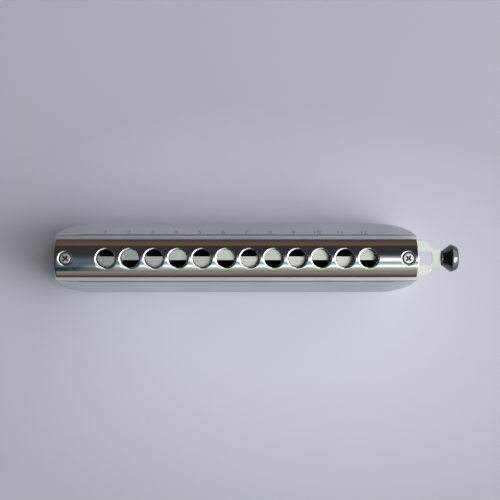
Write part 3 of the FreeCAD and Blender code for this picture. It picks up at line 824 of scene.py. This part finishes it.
def cover_shell(sizes):
    """Upper cover as one sheet: crown, ends, front wall, end flanges and a curled rear lip."""
    low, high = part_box("upper_cover")
    half_length, crown, front = high
    seat = low[1]
    base = crown - sizes.rise - sizes.end_drop
    curl = 0.8 * MM
    flange = 3.4 * MM
    right = end_columns(sizes, half_length, crown, base)
    start = right[0][0]
    middle = [(start * (step / 6 - 1), crown) for step in range(1, 12)]
    columns = [(-x, y) for x, y in reversed(right)] + middle + right
    rows = front_rows(sizes, front, crown, curl)
    bm = bmesh.new()
    across, up = len(columns) - 1, len(rows) - 1
    bmesh.ops.create_grid(bm, x_segments=across, y_segments=up, size=1)
    for vert in bm.verts:
        x, ends = columns[round((vert.co.x + 1) / 2 * across)]
        z, fronts = rows[round((vert.co.y + 1) / 2 * up)]
        vert.co = (x, base + (ends - base) * (fronts - base) / (crown - base), z)
    bm.normal_update()
    if bm.faces[:][0].normal.y < 0:
        bmesh.ops.reverse_faces(bm, faces=bm.faces)
    skirt = border(bm, lambda co: co.z > front - NEAR or abs(co.x) > half_length - NEAR)
    grow(bm, skirt, lambda co: Vector((co.x, seat, co.z)))
    bm.normal_update()
    curled_lip(bm, border(bm, lambda co: co.z < curl + NEAR), curl, sizes.lip, start)
    for end in SIDES:
        hem = border(
            bm,
            lambda co: abs(co.x - end * half_length) < 0.05 * MM
            and co.y < seat + NEAR
            and co.z < front - 0.5 * MM,
        )
        grow(bm, hem, lambda co: co - Vector((end * flange, 0, 0)))
    return bm


class HARMONICA_OT_covers(bpy.types.Operator):
    """Pressed covers with curled rear lips and bolt wells"""

    bl_idname = "harmonica.covers"
    bl_label = "Covers"

    def execute(self, context):
        sizes = context.scene.harmonica_cover
        low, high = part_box("upper_cover")
        carrier = linked("sheet", meshed("sheet", cover_shell(sizes)))
        wall = carrier.modifiers.new("wall", "SOLIDIFY")
        wall.thickness = sizes.thickness
        wall.offset = -1
        wall.use_even_offset = True
        wall.use_quality_normals = True
        shell = applied(carrier)
        floor_top = low[1] + 0.6 * MM
        bolt_radius = 1.03 * MM
        over = 20 * MM
        # A well's wall laps into the cover's end by 0.02 mm, where it would just touch it
        outer = sizes.well_radius + sizes.thickness + 0.02 * MM
        for end in SIDES:
            x, z = end * sizes.well_x, sizes.well_z
            cup = bmesh.new()
            for vert in rod(cup, outer, (x, low[1], z), (x, high[1], z), 48):
                if vert.co.y > high[1] - NEAR:
                    vert.co.y = cover_height(sizes, vert.co.x, vert.co.z) - sizes.thickness / 2
            shell = carved(shell, cup, "UNION", "MANIFOLD")
            for radius, bottom, segments in (
                (sizes.well_radius, floor_top, 48),
                (bolt_radius, 0, 24),
            ):
                bore = bmesh.new()
                rod(bore, radius, (x, bottom, z), (x, over, z), segments)
                shell = carved(shell, bore, solver="MANIFOLD")
        drop_crumbs(shell)
        mesh = meshed("shell", shell)
        for name, flip in (("upper_cover", False), ("lower_cover", True)):
            bm = bmesh.new()
            bm.from_mesh(mesh)
            bm.normal_update()
            # Painted shade: the darker crease finish goes where the fold turns from the slope to
            # the front wall, standing in for the shade in the fold
            for face in bm.faces:
                at_fold = face.calc_center_median().z > high[2] - sizes.fold
                face.material_index = int(at_fold and 0.68 < face.normal.z < 0.999)
            if flip:
                bmesh.ops.scale(bm, vec=(1, -1, 1), verts=bm.verts)
                bmesh.ops.reverse_faces(bm, faces=bm.faces)
            new_piece(name + "_pressed", bm, ("satin", "crease"), BODY, name, 30)
        bpy.data.meshes.remove(mesh)
        return {"FINISHED"}


class HARMONICA_OT_hole_numbers(bpy.types.Operator):
    """Plain hole numbers 1 to 12 etched on the front slope of the upper cover"""

    bl_idname = "harmonica.hole_numbers"
    bl_label = "Hole numbers"

    def execute(self, context):
        sizes = context.scene.harmonica_cover
        middle_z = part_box("upper_cover")[1][2] - 1.45 * MM
        shift = 0.9 * MM  # To the left of the hole
        squeeze = 0.85  # Of the height, as it lies on the slope
        sunk = 0.03 * MM
        marks = bmesh.new()
        for number in range(HOLES):
            text = bpy.data.curves.new("digits", "FONT")
            text.body = str(number + 1)
            text.align_x = "CENTER"
            text.align_y = "CENTER"
            text.size = sizes.digit_height * 1.4
            bm = applied(linked("digits", text))
            # Cut into strips, which then follow the slope
            for step in range(-6, 7):
                bmesh.ops.bisect_plane(
                    bm,
                    geom=bm.verts[:] + bm.edges[:] + bm.faces[:],
                    plane_co=(0, step * sizes.digit_height / 12, 0),
                    plane_no=(0, 1, 0),
                )
            for vert in bm.verts:
                x = hole_x(number) - shift + vert.co.x
                z = middle_z - vert.co.y * squeeze
                vert.co = (x, cover_height(sizes, x, z) - sunk, z)
            for vert in fresh_verts(bmesh.ops.extrude_face_region(bm, geom=bm.faces[:])):
                vert.co += Vector((0, 0.04, 0.03)) * MM
            join(marks, bm)
        close_up(marks, CLOSE / 2)
        new_piece("hole_numbers", marks, ["digits"], BODY)
        return {"FINISHED"}


# Slide, button and spring


class HARMONICA_OT_slide(bpy.types.Operator):
    """Slide with softened edges"""

    bl_idname = "harmonica.slide"
    bl_label = "Slide"

    def execute(self, context):
        softened_piece("slide_plated", "slide", 0.12 * MM, "nickel", SLIDE, True)
        return {"FINISHED"}


class HARMONICA_OT_button(bpy.types.Operator):
    """Turned button with a cone, a band and a domed end"""

    bl_idname = "harmonica.button"
    bl_label = "Button"

    def execute(self, context):
        low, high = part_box("slide_button")
        middle = (low[2] + high[2]) / 2
        start, end = low[0] / MM, high[0] / MM
        large = high[1] / MM
        # Distance from the button's start and radius, in mm
        outline = [(0, 0), (0, 2.55), (0.12, 2.82), (0.4, 3.0), (0.9, 3.3), (1.9, 4.1), (2.8, 4.8)]
        outline += [(3.15, 5.08), (3.45, large - 0.06), (3.75, large), (4.2, large - 0.03)]
        outline += [(4.4, large - 0.1), (5.5, large - 0.53), (5.72, large - 0.67)]
        dome, rim = 5.88, large - 0.82
        for turn in quarter(8):
            outline.append((dome + (end - start - dome) * math.sin(turn), rim * math.cos(turn)))
        outline[-1] = (end - start, 0)
        profile = [((start + x) * MM, 0, middle + radius * MM) for x, radius in outline]
        bm = spun(profile, (1, 0, 0), (0, 0, middle), 72)
        new_piece("button_turned", bm, ["dark_chrome"], SLIDE, "slide_button", 50)
        return {"FINISHED"}


class HARMONICA_OT_spring(bpy.types.Operator):
    """Hairpin spring whose arm runs up to its hook in the slide"""

    bl_idname = "harmonica.spring"
    bl_label = "Slide spring"

    def execute(self, context):
        low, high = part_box("slide_spring")
        radius = 0.4 * MM
        leg = low[0] + radius
        hook = high[0] - radius
        bend = low[2] + radius
        wire = bpy.data.curves.new("spring", "CURVE")
        wire.dimensions = "3D"
        wire.bevel_depth = radius
        wire.bevel_resolution = 4
        wire.use_fill_caps = True
        wire.resolution_u = 10
        line = wire.splines.new("BEZIER")
        # From the leg's top down, round the bend and up the arm to the hook in the slide
        places = [
            (leg, 21 * MM),
            (leg, bend + 2.3 * MM),
            (leg + 2.3 * MM, bend),
            (leg + 4.45 * MM, bend + 1.9 * MM),
            (hook - 0.55 * MM, 28.4 * MM),
            (hook, high[2] - 4.2 * MM),
            (hook, high[2] - 0.03 * MM),
        ]
        headings = {0: (0, 0, -1), 1: (0, 0, -1), 2: (1, 0, 0), 5: (0, 0, 1), 6: (0, 0, 1)}
        line.bezier_points.add(len(places) - 1)
        points = [Vector((x, 0, z)) for x, z in places]
        for index, knot in enumerate(line.bezier_points):
            place = points[index]
            before = points[max(0, index - 1)]
            after = points[min(len(points) - 1, index + 1)]
            direction = (after - before).normalized()
            if index in headings:
                direction = Vector(headings[index])
            knot.co = place
            knot.handle_left = place - direction * (place - before).length / 3
            knot.handle_right = place + direction * (after - place).length / 3
        bm = applied(linked("spring", wire))
        close_up(bm, CLOSE)
        piece = shaded_object("spring_wire", bm, ["steel"], 40)
        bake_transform(piece)
        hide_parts("slide_spring")
        return {"FINISHED"}


# Inner pieces


class HARMONICA_OT_comb_and_plates(bpy.types.Operator):
    """Comb and slide back plate with softened edges, and the reed plates"""

    bl_idname = "harmonica.comb_and_plates"
    bl_label = "Comb and plates"

    def execute(self, context):
        softened_piece("comb_moulded", "comb", 0.2 * MM, "comb", BODY, True)
        plate = "slide_back_plate"
        softened_piece("back_plate_edged", plate, 0.1 * MM, "nickel", BODY, True)
        dress("brass", "upper_reed_plate", "lower_reed_plate")
        return {"FINISHED"}


class HARMONICA_OT_reeds(bpy.types.Operator):
    """Reeds, their rivets and the windsavers"""

    bl_idname = "harmonica.reeds"
    bl_label = "Reeds and valves"

    def execute(self, context):
        dress("reed", *(name for name in frame["nodes"] if name.endswith("reeds")))
        dress("valve", *(name for name in frame["nodes"] if name.endswith("windsavers")))
        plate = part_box("upper_reed_plate")[1][1]
        pad_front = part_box("upper_blow_reeds")[1][2]
        pad = 3.4 * MM
        longest, shortest = 17.5, 10.5
        reed_thickness = 0.25 * MM
        from_middle = 1.85 * MM
        rivets = bmesh.new()
        for number in range(HOLES):
            reed = (longest - (longest - shortest) * number / (HOLES - 1)) * MM
            blow_z = pad_front - pad / 2
            draw_z = pad_front - pad - reed - pad / 2
            # Blow reeds lie on the plates' inner faces and draw reeds on the outer ones
            places = [
                (hole_x(number) - from_middle, plate, blow_z),
                (hole_x(number) + from_middle, plate + reed_thickness, draw_z),
            ]
            for side in SIDES:
                for x, y, z in places:
                    foot, tip = (x, side * y, z), (x, side * (y + 0.3 * MM), z)
                    rod(rivets, 0.55 * MM, foot, tip, 12, 0.34 * MM)
        new_piece("reed_rivets", rivets, ["reed"], BODY, angle=50)
        return {"FINISHED"}


class HARMONICA_OT_fasteners(bpy.types.Operator):
    """Cover bolts, nuts, reed plate screws and the bumper sleeve"""

    bl_idname = "harmonica.fasteners"
    bl_label = "Fasteners"

    def execute(self, context):
        for node in ("cover_bolts", "cover_nuts", "reed_plate_screws"):
            softened_piece(node + "_edged", node, 0.15 * MM, "steel", BODY)
        dress("steel", "mouthpiece_screw_nuts")
        dress("rubber", "slide_bumper")
        return {"FINISHED"}


# Stage

# Tones of the room round the harmonica's length, by the angle in degrees from +Z towards +Y
ROOM = (
    (-180, (0.03, 0.03, 0.03)),
    (-84, (0.03, 0.027, 0.025)),
    (-77, (0.06, 0.055, 0.045)),
    (-70, (0.14, 0.12, 0.10)),
    (-56, (0.22, 0.21, 0.165)),
    (-53, (0.012, 0.03, 0.035)),
    (-38, (0.015, 0.035, 0.045)),
    (-33, (0.06, 0.095, 0.12)),
    (-8, (0.08, 0.11, 0.13)),
    (3, (0.05, 0.06, 0.07)),
    (12, (0.03, 0.03, 0.03)),
    (50, (0.03, 0.027, 0.025)),
    (57, (0.11, 0.075, 0.05)),
    (78, (0.065, 0.043, 0.03)),
    (85, (0.03, 0.027, 0.025)),
)
STREAKS = (
    (-56, (0.21, 0.20, 0.16)),
    (-45, (0.29, 0.30, 0.25)),
    (-38, (0.42, 0.46, 0.40)),
    (-34, (1.0, 1.0, 0.98)),
    (-28, (1.0, 1.0, 0.98)),
    (-25, (0.36, 0.44, 0.42)),
    (-15, (0.22, 0.30, 0.30)),
    (-11, (0.95, 1.0, 1.0)),
    (-2, (1.0, 1.0, 1.0)),
    (3, (0.30, 0.31, 0.33)),
    (10, (0.10, 0.10, 0.11)),
    (16, (0.03, 0.03, 0.03)),
)
WHITE = (1.0, 1.0, 1.0)


def sky(scene):
    """Room light by direction: windows at +X, streaks of light over -Y and dark elsewhere."""
    world = bpy.data.worlds.new("studio")
    world.use_nodes = True
    scene.world = world
    tree = world.node_tree
    place = fed(tree, "ShaderNodeTexCoord", {}).outputs["Generated"]
    parts = fed(tree, "ShaderNodeSeparateXYZ", {"Vector": place})
    x, y, z = (parts.outputs[axis] for axis in "XYZ")
    turn = calculated(tree, "ARCTAN2", y, z)
    share = mapped(tree, turn, -math.pi, math.pi)
    view, streaks = (
        ramp_of(tree, share, [((angle + 180) / 360, tone) for angle, tone in tones])
        for tones in (ROOM, STREAKS)
    )
    # The streaks stand in for the room between their own edges, and fade out towards -X
    along = calculated(tree, "MULTIPLY_ADD", y, -0.06, x)
    lit = mask(
        tree,
        (turn, math.radians(-56), math.radians(-52)),
        (turn, math.radians(20), math.radians(16)),
        (along, -0.075, -0.015),
    )
    view = mixed(tree, lit, view, streaks)
    # The window wall spreads towards both sides
    reach = calculated(tree, "MULTIPLY_ADD", calculated(tree, "ABSOLUTE", y), 0.5, x)
    view = mixed(tree, mask(tree, (reach, 0.66, 0.74), (z, -0.12, 0.0)), view, WHITE)
    # A second window over +X and +Y lights the front strip of the upper cover
    pane = mask(tree, (x, 0.22, 0.32), (y, 0.08, 0.18), (z, 0.4, 0.5))
    view = mixed(tree, pane, view, WHITE)
    view = mixed(tree, mapped(tree, x, -0.2, -0.4), view, (0.025, 0.025, 0.03))
    light = tree.nodes["Background"]
    light.inputs["Strength"].default_value = 1.4
    tree.links.new(view, light.inputs["Color"])
    # The camera itself sees a plain backdrop
    backdrop = fed(tree, "ShaderNodeBackground", {"Color": (0.46, 0.49, 0.54, 1)})
    seen = fed(tree, "ShaderNodeLightPath", {}).outputs["Is Camera Ray"]
    sources = {"Fac": seen, 1: light.outputs["Background"], 2: backdrop.outputs["Background"]}
    choice = fed(tree, "ShaderNodeMixShader", sources)
    tree.links.new(choice.outputs["Shader"], tree.nodes["World Output"].inputs["Surface"])


def pale_floor():
    """A table top with a painted pool of light, palest in a wide pool round the harmonica."""
    base = tuple(bpy.context.scene.harmonica_colours.floor)
    material, shader = plain_finish("pale_floor", base, 0.0, 0.7)
    tree = material.node_tree
    place = on_object(tree, {"Location": (-0.1, 0.25, 0), "Scale": (6, 10, 1)})
    painted_light_pool = fed(tree, "ShaderNodeTexGradient", {"Vector": place})
    painted_light_pool.gradient_type = "SPHERICAL"
    # Painted light: away from the pool the floor darkens to 0.74 of its colour
    tones = ramp_of(tree, painted_light_pool.outputs["Fac"], ((0.1, scaled(base, 0.74)), (0.75, base)))
    tree.links.new(tones, shader.inputs["Base Color"])
    return material


def window_lamp():
    """A square soft lamp far to the right, aimed at the harmonica."""
    data = bpy.data.lights.new("window", "AREA")
    data.shape = "SQUARE"
    data.size = 0.88
    data.energy = 12.2
    data.color = (1.0, 0.99, 0.97)
    place = Vector((1.05, -0.255, 0.92))
    target = Vector((0, 0, 0.02))
    carrier = linked("window", data)
    carrier.location = place
    carrier.rotation_euler = (target - place).to_track_quat("-Z", "Y").to_euler()


class HARMONICA_OT_stage(bpy.types.Operator):
    """Pale floor, soft light and the camera"""

    bl_idname = "harmonica.stage"
    bl_label = "Stage"

    def execute(self, context):
        scene = context.scene
        sizes = scene.harmonica_stage
        bm = bmesh.new()
        bmesh.ops.create_grid(bm, x_segments=8, y_segments=8, size=1.5)
        bmesh.ops.translate(bm, vec=(0, 0, -0.05 * MM), verts=bm.verts)
        mesh = meshed("floor", bm)
        mesh.materials.append(pale_floor())
        linked("floor", mesh)
        sky(scene)
        window_lamp()
        view = bpy.data.cameras.new("view")
        view.sensor_width = 36
        view.lens = 84.5
        view.clip_start = 0.01
        camera = linked("view", view)
        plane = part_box("mouthpiece")[1][2]
        camera.location = (sizes.camera_x, sizes.view_y, plane + sizes.camera_height)
        tilt = math.atan2(sizes.view_x - sizes.camera_x, sizes.camera_height)
        camera.rotation_euler = (0, -tilt, 0)
        scene.camera = camera
        scene.view_settings.view_transform = "Standard"
        return {"FINISHED"}


class HARMONICA_PT_pieces(bpy.types.Panel):
    """Lists the pieces and the sizes that shape them"""

    bl_idname = "HARMONICA_PT_pieces"
    bl_label = "Chromatic harmonica"
    bl_space_type = "VIEW_3D"
    bl_region_type = "UI"
    bl_category = "Harmonica"

    def draw(self, context):
        layout = self.layout
        for operator in OPERATORS:
            layout.operator(operator.bl_idname)
        for group in PROPERTIES:
            box = layout.box()
            settings = getattr(context.scene, group)
            for name in settings.__annotations__:
                box.prop(settings, name)


OPERATORS = (
    HARMONICA_OT_mouthpiece,
    HARMONICA_OT_mouthpiece_screws,
    HARMONICA_OT_covers,
    HARMONICA_OT_hole_numbers,
    HARMONICA_OT_slide,
    HARMONICA_OT_button,
    HARMONICA_OT_spring,
    HARMONICA_OT_comb_and_plates,
    HARMONICA_OT_reeds,
    HARMONICA_OT_fasteners,
    HARMONICA_OT_stage,
)
PROPERTIES = {
    "harmonica_mouthpiece": MouthpieceSizes,
    "harmonica_cover": CoverSizes,
    "harmonica_colours": FinishColours,
    "harmonica_stage": StageSizes,
}


def register():
    for name, group in PROPERTIES.items():
        bpy.utils.register_class(group)
        setattr(bpy.types.Scene, name, PointerProperty(type=group))
    for operator in OPERATORS:
        bpy.utils.register_class(operator)
    bpy.utils.register_class(HARMONICA_PT_pieces)


def unregister():
    bpy.utils.unregister_class(HARMONICA_PT_pieces)
    for operator in reversed(OPERATORS):
        bpy.utils.unregister_class(operator)
    for name, group in PROPERTIES.items():
        delattr(bpy.types.Scene, name)
        bpy.utils.unregister_class(group)


def main():
    """Builds every piece and the stage."""
    register()
    for operator in OPERATORS:
        group, name = operator.bl_idname.split(".")
        getattr(getattr(bpy.ops, group), name)()


if __name__ == "__main__":
    main()
